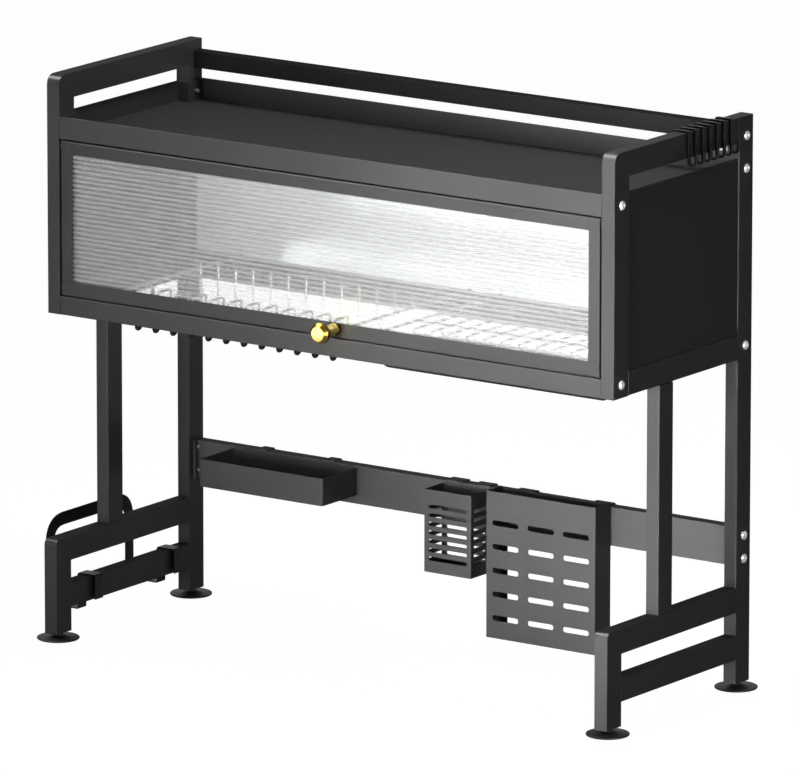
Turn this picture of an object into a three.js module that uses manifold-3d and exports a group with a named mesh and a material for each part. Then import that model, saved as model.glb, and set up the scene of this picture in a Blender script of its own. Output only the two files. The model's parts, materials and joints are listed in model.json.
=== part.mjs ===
// Multi-tier dish rack that stands over a sink: two tube side frames carry a cabinet with a
// flap door of ribbed glass, a tray on top, and a rail at the back for four hanging holders.
// Millimetres. X runs along the rack, Y to the back, Z up. The rack is laid out about its own
// middle and the floor, and the last lines move it over the origin.
import * as THREE from "three";
import { mergeVertices } from "three/addons/utils/BufferGeometryUtils.js";
import Module from "manifold-3d";

const wasm = await Module();
wasm.setup();

// Overall size
const length = 850;
const depth = 313.8;
const height = 720;

// Steel tube of the side frames
const tubeDeep = 31.4;
const tubeWide = 18.6;
const tubeWall = 1.2;
const tubeCorner = 2;
const railCorner = 1;
const weldGap = 0.3;
const sheet = 1.2;
const overrun = 5;

// Side frames: the base over the floor, and the cabinet that is set back from it
const postBottom = 8.2;
const postCap = 4;
const baseHeight = 130.4;
const baseBend = 9;
const lowerRailDrop = 60.5;
const cabinetHigh = 302.6;
const cabinetSetback = 11.5;
const cabinetBend = 14;
const midPostFront = -46.8;

// Side panels
const panelInset = 1.5;
const panelDrop = 4;

// Top tray, guard rail, back panel and the long rails
const trayDrop = 51;
const trayHigh = 28;
const trayGap = 0.5;
const trayLip = 0.5;
const guardDrop = 13.6;
const guardHigh = 21.7;
const guardDeep = 19;
const backPanelInset = 13.9;
const frontRailHigh = 23.6;
const frontRailDeep = 20;
const rearRailDeep = 19.6;
const hangRailBottom = 153.6;
const hangRailHigh = 49.4;
const hangRailDeep = 16.4;
const hangPlateDeep = 23;
const railCap = 3;

// Screws
const screwRadius = 2.5;
const screwClearance = 0.3;
const screwReach = 24;
const screwHeadRadius = 5.8;
const screwHeadHigh = 2.6;
const screwDomeShare = 0.86;
const screwDomeHighShare = 0.62;
const screwCrownShare = 0.45;
const bottomScrewUp = 16.4;
const hangUpperScrewDrop = 8.7;
const hangLowerScrewUp = 11.6;

// Feet
const footRadius = 27;
const footRim = 2.4;
const footCrown = 4.6;
const footHubRadius = 8;
const stemRadius = 5;
const stemLength = 22;
const stemClearance = 0.3;

// Flap door
const doorBottomGap = 1;
const doorTopGap = 2;
const doorSideGap = 2.7;
const doorThick = 13;
const doorRound = 3;
const stileWide = 16.3;
const doorTopRailHigh = 16.5;
const doorBottomRailHigh = 18.8;
const rearLipDrop = 3.2;
const glassBite = 5;
const glassClearance = 0.4;
const glassSetback = 1.8;
const glassThick = 4;
const ribPitch = 6;
const ribHigh = 0.8;
const pivotDrop = 9;
const pinRadius = 3;
const pinClearance = 0.1;
const pinReach = 9;
const pinCollarRadius = 5;
const pinCollarGap = 0.35;

// Knob
const knobAcross = 14.6;
const knobUp = 11.6;
const knobReach = 39.6;
const knobHeadRadius = 13.25;
const knobFaceRadius = 8.75;
const knobHeadThick = 9;
const knobBevel = 4.5;
const knobFlare = 10;
const knobNeckRadius = 8;
const knobBoreDepth = 16;
const knobScrewRadius = 2;
const knobScrewHeadRadius = 4;
const knobScrewHeadHigh = 2.2;
const knobScrewReach = 13.5;

// Wire racks: depths count back from the front wire, heights from the frame wire of a rack
const wireRadius = 1.6;
const ringRadius = 1.75;
const wireBend = 4;
const ringBend = 8;
const ringFrontInset = 18.1;
const ringRearGap = 1.5;
const ringStepBack = 16;
const wireRest = 0.25;
const wireBite = 0.9;
const plateRingLeft = -335.5;
const platePitch = 27;
const plateWires = 12;
const plateLegBack = 9.3;
const plateLegPitch = 7;
const plateFloorDrop = 44.2;
const plateHumpHigh = 48.1;
const plateHumpDeep = 28;
const platePegBack = 144.3;
const platePegRise = 16.4;
const plateCrossBack = 77.3;
const bowlRingLeft = 62;
const bowlRingRight = 393;
const bowlPitch = 25.7;
const bowlWires = 12;
const bowlFirst = 25;
const bowlFrontBack = 45.3;
const bowlRearBack = 145.3;
const bowlMiddleBack = 94.3;
const bowlLipDrop = 8;
const bowlSlopeBack = 73.3;
const bowlSlopeDrop = 12;
const bowlFloorBack = 97.3;
const bowlFloorDrop = 27.1;
const bowlFloorEndBack = 139.3;
const bowlFrontBarDrop = 41;

// Hooks of the hanging holders
const hookRailGap = 0.6;
const hookDrop = 18;
const hookBend = 1;

// Sponge tray
const spongeEndGap = 59.4;
const spongeLong = 191;
const spongeDeep = 74.9;
const spongeTopDrop = 2.5;
const spongeHigh = 35.5;
const spongeCorner = 4;
const spongeHookWide = 15;
const spongeHookSpan = 104;

// Cutlery basket
const cutleryLeft = -24;
const cutleryRight = 47;
const cutleryDeep = 40.9;
const cutleryTopDrop = 3.5;
const cutleryHigh = 106;
const cutlerySlotRows = 7;
const cutleryCoveredRowCount = 3;
const cutleryRearRowCount = 4;
const cutlerySlotDrop = 21.1;
const cutlerySlotPitch = 11.2;
const cutlerySlotHigh = 5;
const cutlerySlotMargin = 6.5;
const cutleryRearMargin = 3;
const cutleryHookShift = 2;
const cutleryHookWide = 24;
const cutleryHookSpan = 42;

// Cutting-board holder
const boardLeft = 65.5;
const boardRight = 229;
const boardDeep = 33.9;
const boardRise = 5.3;
const boardHigh = 187.6;
const boardFlange = 9;
const boardStrapDrop = 2;
const boardStrapHigh = 20;
const boardSlotLong = 39;
const boardSlotHigh = 7;
const boardSlotColumns = 3;
const boardSlotAcross = 53;
const boardSlotRows = 5;
const boardSlotDrop = 39.8;
const boardSlotDown = 30.4;
const boardHookShift = 6.4;
const boardHookWide = 26;
const boardHookSpan = 114.3;

// Lid rack
const lidReach = 53;
const lidSheet = 1.5;
const lidFront = -84;
const lidBack = 101;
const lidRise = 5.9;
const lidStrip = 17;
const lidInnerBend = 21;
const lidDrop = 45.9;
const lidRailGap = 1.5;
const lidRailTopGap = 0.4;
const lidInnerStandoff = 4.7;
const lidInnerDrop = 30;
const lidFold = 1;

// Hooks on the right top rail
const hookCount = 7;
const hookRearGap = 51.9;
const hookPitch = 15.5;
const hookWide = 4.6;
const hookThick = 2.4;
const hookGap = 0.4;
const hookInnerDrop = 12;
const hookHang = 40;
const hookReach = 14;
const hookTipDrop = 23;
const hookCurl = 4.2;
const hookFold = 1;

// Fineness of round shapes
const frameBendSteps = 8;
const bendSteps = 3;
const cornerSteps = 2;
const ribSteps = 3;
const wireSides = 6;
const wireBendSteps = 1;
const slotSteps = 4;
const turnedSides = 24;
const screwSides = 10;
const weld = 0.00001;

// Places worked out from the sizes above
const outerFace = length / 2;
const innerFace = outerFace - tubeWide;
const sideMiddle = outerFace - tubeWide / 2;
const baseFront = -depth / 2;
const rearFace = depth / 2;
const cabinetFront = baseFront + cabinetSetback;
const frontPostRear = cabinetFront + tubeDeep;
const frontPostMiddle = cabinetFront + tubeDeep / 2;
const rearPostFront = rearFace - tubeDeep;
const rearPostMiddle = rearFace - tubeDeep / 2;
const backPanelFront = rearFace - backPanelInset;
const baseLegRear = baseFront + tubeDeep;
const baseLegMiddle = baseFront + tubeDeep / 2;
const lowerRailTop = baseHeight - lowerRailDrop;
const cabinetBottom = height - cabinetHigh;
const sideRailTop = cabinetBottom + tubeDeep;
const frontRailTop = cabinetBottom + frontRailHigh;
const trayTop = height - trayDrop;
const trayBottom = trayTop - trayHigh;
const panelTop = trayTop - panelDrop;
const panelFace = outerFace - panelInset;
const guardTop = height - guardDrop;
const guardBottom = guardTop - guardHigh;
const hangRailTop = hangRailBottom + hangRailHigh;
const hangRailFront = rearFace - hangRailDeep;
const holderBack = hangRailFront - hookRailGap;
const spongeLeft = -innerFace + spongeEndGap;
const spongeRight = spongeLeft + spongeLong;
const doorLeft = -innerFace + doorSideGap;
const doorRight = innerFace - doorSideGap;
const doorBack = cabinetFront + doorThick;
const doorMiddle = cabinetFront + doorThick / 2;
const doorBottom = frontRailTop + doorBottomGap;
const doorTop = trayBottom - doorTopGap;
const glassFront = cabinetFront + glassSetback;
const glassBack = glassFront + glassThick;
const pivotHeight = doorTop - pivotDrop;
const knobHeight = doorBottom + knobUp;
const wireStack = wireRadius * 2 - wireBite;
const ringFront = cabinetFront + ringFrontInset;
const ringRear = backPanelFront - ringRearGap;
const ringHeight = sideRailTop + ringRadius + wireRest;
const ringFrontHeight = frontRailTop + ringRadius + wireRest;
const plateFloorHeight = ringHeight - plateFloorDrop;
const platePegPlace = ringFront + platePegBack;
const platePegTop = ringHeight + platePegRise;
const plateRingRight = plateRingLeft + platePitch * (plateWires + 1);
const bowlFloorHeight = ringHeight - bowlFloorDrop;
const steelBlack = { color: 0x2b2b2d, roughness: 0.55, metalness: 0.3 };
const plasticBlack = { color: 0x0c0c0c, roughness: 0.6, metalness: 0 };
const mirrorSteel = { color: 0xd1d3d5, roughness: 0.12, metalness: 1 };
const wireSteel = { color: 0xc9cbcc, roughness: 0.35, metalness: 0.9 };
const screwSteel = { color: 0xd6d6d6, roughness: 0.25, metalness: 1 };
const brass = { color: 0xd9b648, roughness: 0.2, metalness: 1 };
const ribbedGlass = { color: 0xe6ecec, roughness: 0.15, metalness: 0, opacity: 0.45, transparent: true };

// Turns that stand a flat outline up: its thickness runs along X, Y or Z
const xAxis = new THREE.Vector3(1, 0, 0);
const yAxis = new THREE.Vector3(0, 1, 0);
const zAxis = new THREE.Vector3(0, 0, 1);
const alongX = new THREE.Matrix4().makeBasis(yAxis, zAxis, xAxis);
const alongY = new THREE.Matrix4().makeBasis(xAxis, zAxis, yAxis.clone().negate());
const alongZ = new THREE.Matrix4();

const rack = new THREE.Group();

// A closed geometry as a solid for cutting and joining
function solidOf(geometry) {
  const bare = geometry.clone();
  bare.deleteAttribute("normal");
  bare.deleteAttribute("uv");
  const merged = mergeVertices(bare, weld);
  return new wasm.Manifold(new wasm.Mesh({
    numProp: 3,
    vertProperties: Float32Array.from(merged.attributes.position.array),
    triVerts: Uint32Array.from(merged.index.array),
  }));
}

// A solid as a named mesh of the rack
function addPiece(name, solid, finish) {
  const { vertProperties, triVerts } = solid.getMesh();
  const shared = new THREE.BufferGeometry();
  shared.setAttribute("position", new THREE.BufferAttribute(vertProperties, 3));
  shared.setIndex(new THREE.BufferAttribute(triVerts, 1));
  const flat = shared.toNonIndexed();
  flat.computeVertexNormals();
  const mesh = new THREE.Mesh(flat, new THREE.MeshStandardMaterial(finish));
  mesh.name = name;
  rack.add(mesh);
  return mesh;
}

function join(solids) {
  return solids.reduce((whole, solid) => whole.add(solid));
}

function cut(solid, tools) {
  return tools.reduce((rest, tool) => rest.subtract(tool), solid);
}

// Outline through corner points, each rounded by its own radius
function outline(corners, radii) {
  const shape = new THREE.Shape();
  const last = corners.length - 1;
  corners.forEach((corner, index) => {
    const before = corners[index === 0 ? last : index - 1];
    const after = corners[index === last ? 0 : index + 1];
    const inward = before.clone().sub(corner).normalize();
    const onward = after.clone().sub(corner).normalize();
    const halfAngle = Math.acos(THREE.MathUtils.clamp(inward.dot(onward), -1, 1)) / 2;
    const radius = radii[index];
    const setback = radius / Math.tan(halfAngle);
    const start = corner.clone().addScaledVector(inward, setback);
    const end = corner.clone().addScaledVector(onward, setback);
    if (index === 0) {
      shape.moveTo(start.x, start.y);
    } else {
      shape.lineTo(start.x, start.y);
    }
    if (radius > 0) {
      shape.quadraticCurveTo(corner.x, corner.y, end.x, end.y);
    }
  });
  shape.closePath();
  return shape;
}

function points(pairs) {
  return pairs.map(([across, up]) => new THREE.Vector2(across, up));
}

function rectangle(left, right, bottom, top, radius) {
  const corners = points([[left, bottom], [right, bottom], [right, top], [left, top]]);
  return outline(corners, corners.map(() => radius));
}

// A flat outline given a thickness, standing in the wanted plane, from one place to another
function slab(shape, turn, from, to, steps) {
  const geometry = new THREE.ExtrudeGeometry(shape, {
    depth: to - from,
    bevelEnabled: false,
    curveSegments: steps,
  });
  geometry.translate(0, 0, turn === alongY ? -to : from);
  geometry.applyMatrix4(turn);
  return solidOf(geometry);
}

function block(left, right, front, back, bottom, top) {
  return slab(rectangle(left, right, front, back, 0), alongZ, bottom, top, 1);
}

// Strip of sheet bent along a line, as an outline of one thickness; each bend has its inner radius
function ribbon(pairs, thickness, bends) {
  const line = points(pairs);
  const last = line.length - 1;
  const left = [];
  const right = [];
  const leftRadii = [];
  const rightRadii = [];
  line.forEach((point, index) => {
    const comesIn = index === 0 ? null : point.clone().sub(line[index - 1]).normalize();
    const goesOut = index === last ? null : line[index + 1].clone().sub(point).normalize();
    const before = comesIn ?? goesOut;
    const after = goesOut ?? comesIn;
    const normalBefore = new THREE.Vector2(-before.y, before.x);
    const normalAfter = new THREE.Vector2(-after.y, after.x);
    const mitre = normalBefore.clone().add(normalAfter).normalize();
    const spread = thickness / 2 / mitre.dot(normalBefore);
    left.push(point.clone().addScaledVector(mitre, spread));
    right.push(point.clone().addScaledVector(mitre, -spread));
    const turn = before.x * after.y - before.y * after.x;
    const bend = bends[index - 1] ?? 0;
    const isEnd = index === 0 || index === last;
    leftRadii.push(isEnd ? 0 : turn > 0 ? bend : bend + thickness);
    rightRadii.push(isEnd ? 0 : turn > 0 ? bend + thickness : bend);
  });
  return outline(right.concat(left.reverse()), rightRadii.concat(leftRadii.reverse()));
}

// Path of a bent wire that keeps exactly the points it is given
class WirePath extends THREE.Curve {
  constructor(stops) {
    super();
    this.stops = stops;
  }

  getPoint(share, target = new THREE.Vector3()) {
    const place = share * (this.stops.length - 1);
    const index = Math.min(Math.floor(place), this.stops.length - 2);
    return target.lerpVectors(this.stops[index], this.stops[index + 1], place - index);
  }

  getPointAt(share, target) {
    return this.getPoint(share, target);
  }

  getTangentAt(share, target = new THREE.Vector3()) {
    const last = this.stops.length - 1;
    const index = Math.round(share * last);
    const after = this.stops[Math.min(index + 1, last)];
    return target.subVectors(after, this.stops[Math.max(index - 1, 0)]).normalize();
  }
}

function roundedStops(corners, bend) {
  const last = corners.length - 1;
  return corners.flatMap((corner, index) => {
    if (index === 0 || index === last) {
      return [corner];
    }
    const inward = corners[index - 1].clone().sub(corner);
    const onward = corners[index + 1].clone().sub(corner);
    const room = Math.min(inward.length(), onward.length()) / 2;
    const halfAngle = inward.angleTo(onward) / 2;
    const setback = Math.min(bend / Math.tan(halfAngle), room);
    const start = corner.clone().addScaledVector(inward.normalize(), setback);
    const end = corner.clone().addScaledVector(onward.normalize(), setback);
    return new THREE.QuadraticBezierCurve3(start, corner, end).getPoints(wireBendSteps);
  });
}

function wire(corners, radius, bend) {
  const stops = roundedStops(corners.map((corner) => new THREE.Vector3(...corner)), bend);
  const rim = Array.from({ length: wireSides }, (_, index) => {
    const angle = index / wireSides * Math.PI * 2;
    return new THREE.Vector2(radius * Math.cos(angle), radius * Math.sin(angle));
  });
  const geometry = new THREE.ExtrudeGeometry(new THREE.Shape(rim), {
    steps: stops.length - 1,
    extrudePath: new WirePath(stops),
  });
  return solidOf(geometry);
}

// Solid of revolution about X, Y or Z, from pairs of radius and place along the axis
function turned(pairs, sides, axis) {
  const geometry = new THREE.LatheGeometry(points(pairs), sides);
  geometry.applyQuaternion(new THREE.Quaternion().setFromUnitVectors(yAxis, axis));
  return solidOf(geometry);
}

function rod(radius, from, to, sides, axis) {
  return turned([[0, from], [radius, from], [radius, to], [0, to]], sides, axis);
}

// Straight tube pieces
function verticalTube(front, back, bottom, top) {
  const half = tubeWide / 2;
  const outer = slab(rectangle(-half, half, front, back, tubeCorner), alongZ, bottom, top, cornerSteps);
  const inner = block(-half + tubeWall, half - tubeWall, front + tubeWall, back - tubeWall,
    bottom - overrun, top + overrun);
  return outer.subtract(inner);
}

function deepTube(front, back, bottom, top) {
  const half = tubeWide / 2;
  const section = rectangle(-half, half, bottom, top, tubeCorner);
  const outer = slab(section, alongY, front, back, cornerSteps);
  const inner = block(-half + tubeWall, half - tubeWall, front - overrun, back + overrun,
    bottom + tubeWall, top - tubeWall);
  return outer.subtract(inner);
}

// Long rail between the side frames, with capped ends that take a screw each
function longRail(front, back, bottom, top, screwPlaces) {
  const end = innerFace - weldGap;
  const outer = slab(rectangle(front, back, bottom, top, railCorner), alongX, -end, end, cornerSteps);
  const inner = block(-end + railCap, end - railCap, front + tubeWall, back - tubeWall,
    bottom + tubeWall, top - tubeWall);
  return cut(outer.subtract(inner), screwPlaces.map(screwHole));
}

// Screw holes at both ends of a long piece
function screwHole([place, up]) {
  const tip = outerFace - screwReach - screwClearance;
  const holes = [-1, 1].map((side) => rod(screwRadius + screwClearance, tip, outerFace + overrun,
    screwSides, xAxis.clone().multiplyScalar(side)));
  return join(holes).translate(0, place, up);
}

function screwHoleThroughTube([place, up]) {
  const hole = rod(screwRadius + screwClearance, -tubeWide, tubeWide, screwSides, xAxis);
  return hole.translate(0, place, up);
}

// Places of the frame screws on one side: depth and height
const screwPlaces = {
  tray_front: [frontPostMiddle, (trayBottom + trayTop) / 2],
  front_rail: [frontPostMiddle, cabinetBottom + bottomScrewUp],
  guard_rail: [rearPostMiddle, (guardBottom + guardTop) / 2],
  tray_rear: [rearPostMiddle, (trayBottom + trayTop) / 2],
  rear_rail: [rearPostMiddle, cabinetBottom + bottomScrewUp],
  hanging_rail_upper: [rearPostMiddle, hangRailTop - hangUpperScrewDrop],
  hanging_rail_lower: [rearPostMiddle, hangRailBottom + hangLowerScrewUp],
};
const frontScrews = [screwPlaces.tray_front, screwPlaces.front_rail];
const rearScrews = Object.values(screwPlaces).slice(frontScrews.length);

function stemHole(place) {
  const hole = rod(stemRadius + stemClearance, postBottom - overrun, postBottom + postCap + overrun,
    turnedSides, zAxis);
  return hole.translate(0, place, 0);
}

// Rear post: a closed tube, open only at the foot's stem and the screws
function rearPost() {
  const half = tubeWide / 2;
  const section = rectangle(-half, half, rearPostFront, rearFace, tubeCorner);
  const outer = slab(section, alongZ, postBottom, height, cornerSteps);
  const inner = block(-half + tubeWall, half - tubeWall, rearPostFront + tubeWall, rearFace - tubeWall,
    postBottom + postCap, height - tubeWall);
  const holes = rearScrews.map(screwHoleThroughTube);
  return cut(outer, [inner, stemHole(rearPostMiddle), ...holes]);
}

// Leg and rail in one bent tube: the leg stands at the front, the rail runs back to the rear post
function bentTube(front, bottom, top, bend, innerBottom) {
  const half = tubeWide / 2;
  const back = rearPostFront - weldGap;
  const outer = outline(points([
    [front, bottom], [front + tubeDeep, bottom], [front + tubeDeep, top - tubeDeep],
    [back, top - tubeDeep], [back, top], [front, top],
  ]), [0, 0, 0, 0, 0, bend]);
  const inner = outline(points([
    [front + tubeWall, innerBottom], [front + tubeDeep - tubeWall, innerBottom],
    [front + tubeDeep - tubeWall, top - tubeDeep + tubeWall],
    [back + overrun, top - tubeDeep + tubeWall], [back + overrun, top - tubeWall],
    [front + tubeWall, top - tubeWall],
  ]), [0, 0, 0, 0, 0, bend - tubeWall]);
  const shell = slab(outer, alongX, -half, half, frameBendSteps);
  return shell.subtract(slab(inner, alongX, -half + tubeWall, half - tubeWall, frameBendSteps));
}

function cabinetFrontFrame(side) {
  const frame = bentTube(cabinetFront, cabinetBottom, height, cabinetBend, cabinetBottom - overrun);
  const inward = side > 0 ? -tubeWide : 0;
  const pinHole = rod(pinRadius + pinClearance, inward, inward + tubeWide, turnedSides, xAxis);
  const holes = frontScrews.map(screwHoleThroughTube);
  return cut(frame, [pinHole.translate(0, doorMiddle, pivotHeight), ...holes]);
}

function baseFrame() {
  const frame = bentTube(baseFront, postBottom, baseHeight, baseBend, postBottom + postCap);
  return frame.subtract(stemHole(baseLegMiddle));
}

// Side panel: a flat sheet between the posts, under the edge of the top tray
function sidePanel(side) {
  const faces = [panelFace, panelFace - sheet].map((face) => side * (face - sideMiddle));
  return block(Math.min(...faces), Math.max(...faces), frontPostRear + weldGap, rearPostFront - weldGap,
    sideRailTop + weldGap, panelTop);
}

// Levelling foot: a disc on a stem that screws up into the post
function foot() {
  return turned([
    [0, 0], [footRadius, 0], [footRadius, footRim], [footHubRadius, footCrown],
    [stemRadius, footCrown], [stemRadius, postBottom + stemLength], [0, postBottom + stemLength],
  ], turnedSides, zAxis);
}

// Dome-headed screw along X, its head outside the frame
function frameScrew(side) {
  const seat = outerFace + weldGap;
  return turned([
    [0, outerFace - screwReach], [screwRadius, outerFace - screwReach],
    [screwRadius, seat], [screwHeadRadius, seat],
    [screwHeadRadius * screwDomeShare, seat + screwHeadHigh * screwDomeHighShare],
    [screwHeadRadius * screwCrownShare, seat + screwHeadHigh], [0, seat + screwHeadHigh],
  ], screwSides, xAxis.clone().multiplyScalar(side));
}

// Tray on top of the cabinet: an open box that reaches out between the posts to the side panels,
// where its edge folds over them; it is notched round the four posts, where its screws go in
function topTray() {
  const end = innerFace - trayGap;
  const wing = panelFace - sheet - weldGap;
  const front = frontPostRear + trayGap;
  const back = rearPostFront - trayGap;
  const outer = join([
    block(-end, end, cabinetFront, rearFace - trayGap, trayBottom, trayTop),
    block(-wing, wing, front, back, trayBottom, trayTop),
  ]);
  const inner = join([
    block(-end + sheet, end - sheet, cabinetFront + sheet, rearFace - trayGap - sheet,
      trayBottom + sheet, trayTop + overrun),
    block(-wing + sheet, wing - sheet, front + sheet, back - sheet, trayBottom + sheet, trayTop + overrun),
  ]);
  const edge = panelTop + weldGap;
  const lips = [-1, 1].map((side) => {
    const profile = [[wing - sheet / 2, trayTop], [wing - sheet / 2, edge], [panelFace, edge],
      [panelFace, edge + trayLip]].map(([across, up]) => [side * across, up]);
    const corners = points(side > 0 ? profile : profile.reverse());
    return slab(outline(corners, corners.map(() => 0)), alongY, front, back, 1);
  });
  const places = [screwPlaces.tray_front, screwPlaces.tray_rear];
  return cut(join([outer.subtract(inner), ...lips]), places.map(screwHole));
}

function backPanel() {
  const end = innerFace - weldGap;
  const back = backPanelFront + sheet;
  return block(-end, end, backPanelFront, back, sideRailTop + weldGap, trayBottom - weldGap);
}

// Door: an envelope with rounded edges, cut into four members with a groove for the glass
function doorEnvelope() {
  const section = rectangle(cabinetFront, doorBack, doorBottom, doorTop, doorRound);
  return slab(section, alongX, doorLeft, doorRight, bendSteps);
}

function doorMember(left, right, bottom, top) {
  const part = block(left, right, cabinetFront - overrun, doorBack + overrun, bottom, top);
  const grow = glassClearance;
  const groove = block(
    doorLeft + stileWide - glassBite - grow, doorRight - stileWide + glassBite + grow,
    glassFront - grow, glassBack + grow,
    doorBottom + doorBottomRailHigh - glassBite - grow, doorTop - doorTopRailHigh + glassBite + grow,
  );
  return doorEnvelope().intersect(part).subtract(groove);
}

function doorStile(side) {
  const outer = side * doorRight;
  const inner = outer - side * stileWide;
  const member = doorMember(Math.min(inner, outer), Math.max(inner, outer),
    doorBottom + doorBottomRailHigh + weldGap, doorTop);
  const hole = rod(pinRadius + pinClearance, -stileWide / 2, stileWide / 2, turnedSides, xAxis);
  return member.subtract(hole.translate(outer, doorMiddle, pivotHeight));
}

function doorTopRail() {
  const left = doorLeft + stileWide + weldGap;
  return doorMember(left, -left, doorTop - doorTopRailHigh, doorTop);
}

function doorBottomRail() {
  const top = doorBottom + doorBottomRailHigh;
  const rail = doorMember(doorLeft, doorRight, doorBottom, top);
  const side = doorRight - stileWide;
  const lip = block(-side, side, glassBack, doorBack + overrun, top - rearLipDrop, top + overrun);
  const hole = rod(knobScrewRadius + screwClearance, -doorThick, doorThick, screwSides, yAxis);
  return cut(rail, [lip, hole.translate(knobAcross, doorMiddle, knobHeight)]);
}

// Glass with a ribbed front: the ribs are half waves across its height
function doorGlass() {
  const bottom = doorBottom + doorBottomRailHigh - glassBite;
  const top = doorTop - doorTopRailHigh + glassBite;
  const ribs = Math.round((top - bottom) / ribPitch);
  const pitch = (top - bottom) / ribs;
  const shape = new THREE.Shape();
  shape.moveTo(glassBack, bottom);
  shape.lineTo(glassBack, top);
  for (let step = ribs * ribSteps; step >= 0; step -= 1) {
    const share = step / ribSteps;
    const wave = Math.abs(Math.sin(Math.PI * share));
    shape.lineTo(glassFront + ribHigh - wave * ribHigh, bottom + share * pitch);
  }
  shape.closePath();
  const side = doorRight - stileWide + glassBite;
  return slab(shape, alongX, -side, side, 1);
}

// Hinge pin with a collar that keeps the door off the post
function hingePin(side) {
  const pinEnd = stileWide / 2 - pinCollarGap;
  const solid = turned([
    [0, -pinEnd], [pinRadius, -pinEnd], [pinRadius, pinCollarGap], [pinCollarRadius, pinCollarGap],
    [pinCollarRadius, doorSideGap - pinCollarGap], [pinRadius, doorSideGap - pinCollarGap],
    [pinRadius, pinReach], [0, pinReach],
  ], turnedSides, xAxis.clone().multiplyScalar(side));
  return solid.translate(side * doorRight, doorMiddle, pivotHeight);
}

// Mushroom knob, its axis pointing to the front: its neck flares to a bevelled head, and it has a
// blind hole for its screw
function doorKnob() {
  const face = knobReach;
  const headBack = face - knobHeadThick;
  const solid = turned([
    [0, weldGap], [knobNeckRadius, weldGap], [knobNeckRadius, headBack - knobFlare],
    [knobHeadRadius, headBack], [knobHeadRadius, face - knobBevel],
    [knobFaceRadius, face], [0, face],
  ], turnedSides, yAxis.clone().negate());
  const bore = rod(knobScrewRadius + screwClearance, -overrun, knobBoreDepth, screwSides,
    yAxis.clone().negate());
  return solid.subtract(bore).translate(knobAcross, cabinetFront, knobHeight);
}

function doorKnobScrew() {
  const head = doorThick + weldGap;
  const solid = turned([
    [0, -knobScrewReach], [knobScrewRadius, -knobScrewReach],
    [knobScrewRadius, head], [knobScrewHeadRadius, head],
    [knobScrewHeadRadius, head + knobScrewHeadHigh], [0, head + knobScrewHeadHigh],
  ], screwSides, yAxis);
  return solid.translate(knobAcross, cabinetFront, knobHeight);
}

// Frame of a wire rack: it lies on the front rail and hooks over the rear rail with its two arms
function rackRing(left, right, cross) {
  const step = ringFront + ringStepBack;
  const front = wire([
    [left, ringRear, ringHeight], [left, step, ringHeight], [left, ringFront, ringFrontHeight],
    [right, ringFront, ringFrontHeight], [right, step, ringHeight], [right, ringRear, ringHeight],
  ], ringRadius, ringBend);
  const under = ringHeight - wireStack;
  const bars = cross.map((place) => wire([[left, place, under], [right, place, under]], wireRadius, 0));
  return join([front, ...bars]);
}

// Low cross wire under the floor of a rack, its ends bent up to the frame
function lowBar(left, right, place, floor) {
  const under = floor - wireStack;
  return wire([
    [left, place, ringHeight], [left, place, under], [right, place, under], [right, place, ringHeight],
  ], wireRadius, ringBend);
}

function plateWire(across) {
  const leg = ringFront + plateLegBack;
  const humpFront = leg + plateLegPitch;
  const humpRear = humpFront + plateHumpDeep;
  const hump = plateFloorHeight + plateHumpHigh;
  return wire([
    [across, ringFront, ringFrontHeight], [across, leg, ringFrontHeight],
    [across, leg, plateFloorHeight], [across, humpFront, plateFloorHeight],
    [across, humpFront, hump], [across, humpRear, hump], [across, humpRear, plateFloorHeight],
    [across, platePegPlace, plateFloorHeight], [across, platePegPlace, platePegTop],
  ], wireRadius, wireBend);
}

function plateRack() {
  const peg = wire([
    [plateRingRight, platePegPlace, ringHeight], [plateRingRight, platePegPlace, platePegTop],
  ], wireRadius, 0);
  const wires = Array.from({ length: plateWires }, (_, index) => (
    plateWire(plateRingLeft + platePitch * (index + 1))
  ));
  const frame = rackRing(plateRingLeft, plateRingRight, [platePegPlace + wireStack]);
  const bar = lowBar(plateRingLeft, plateRingRight, ringFront + plateCrossBack, plateFloorHeight);
  return join([frame, bar, peg, ...wires]);
}

function bowlWire(across) {
  const front = ringFront + bowlFrontBack;
  return wire([
    [across, ringFront + bowlRearBack, ringHeight], [across, front, ringHeight],
    [across, front, ringHeight - bowlLipDrop],
    [across, ringFront + bowlSlopeBack, ringHeight - bowlSlopeDrop],
    [across, ringFront + bowlFloorBack, bowlFloorHeight],
    [across, ringFront + bowlFloorEndBack, bowlFloorHeight],
  ], wireRadius, wireBend);
}

function bowlRack() {
  const wires = Array.from({ length: bowlWires }, (_, index) => (
    bowlWire(bowlRingLeft + bowlFirst + bowlPitch * index)
  ));
  const frame = rackRing(bowlRingLeft, bowlRingRight,
    [ringFront + bowlMiddleBack, ringFront + bowlRearBack]);
  const rearBar = lowBar(bowlRingLeft, bowlRingRight, ringFront + bowlFloorEndBack, bowlFloorHeight);
  const frontBar = lowBar(bowlRingLeft, bowlRingRight, ringFront + ringStepBack,
    ringHeight - bowlFrontBarDrop);
  return join([frame, rearBar, frontBar, ...wires]);
}

// Two strips that hook a holder over the hanging rail
function railHooks(middle, span, wide, attachHeight) {
  const line = [
    [holderBack - sheet / 2, attachHeight], [holderBack - sheet / 2, hangRailTop + hookRailGap + sheet / 2],
    [rearFace + hookRailGap + sheet / 2, hangRailTop + hookRailGap + sheet / 2],
    [rearFace + hookRailGap + sheet / 2, hangRailTop - hookDrop],
  ];
  return [-1, 1].map((side) => {
    const left = middle + (side * span - wide) / 2;
    return slab(ribbon(line, sheet, [hookBend, hookBend]), alongX, left, left + wide, cornerSteps);
  });
}

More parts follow.
